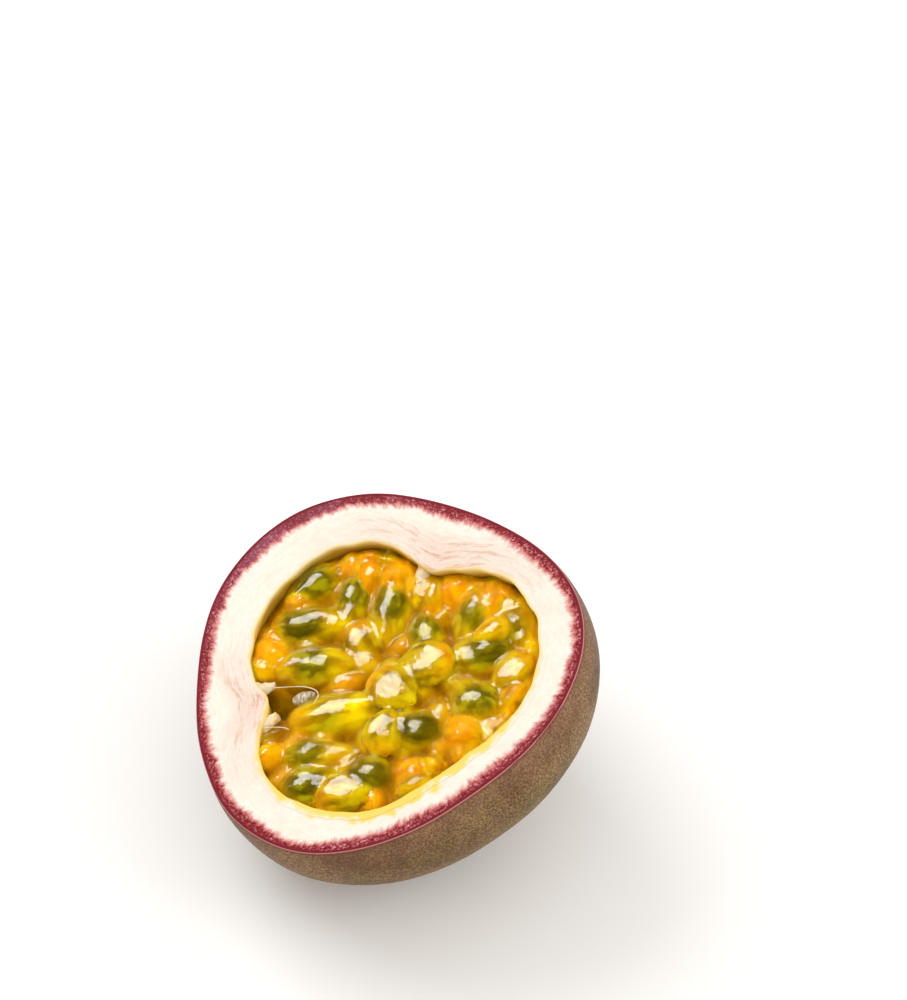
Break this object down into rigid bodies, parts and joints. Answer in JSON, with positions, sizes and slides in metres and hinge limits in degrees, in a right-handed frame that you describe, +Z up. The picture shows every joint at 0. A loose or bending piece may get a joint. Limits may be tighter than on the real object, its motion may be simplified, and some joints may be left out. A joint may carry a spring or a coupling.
{
  "type": "halved passion fruit",
  "caption": "Half of a rounded fruit cut across: a thick bowl of rind filled with seeded juice sacs, lying tilted on its rounded end.",
  "frame": {"origin": "middle of the fruit's footprint on the table: the bottom centre of its bounding box", "axes": "+Z up; the cut faces up and leans 19 degrees towards -Y, so the high side of the rim is at +Y"},
  "size_m": [0.0614, 0.0598, 0.0404],
  "materials": {
    "rind": "leathery purple-brown skin with fine tan speckle; on the cut, a dark purple edge and spongy cream pith",
    "pulp": "wet, translucent yellow to orange gel over dark olive seeds"
  },
  "bodies": {
    "root": {"rind": "rind", "pulp": "pulp"}
  },
  "joints": []
}
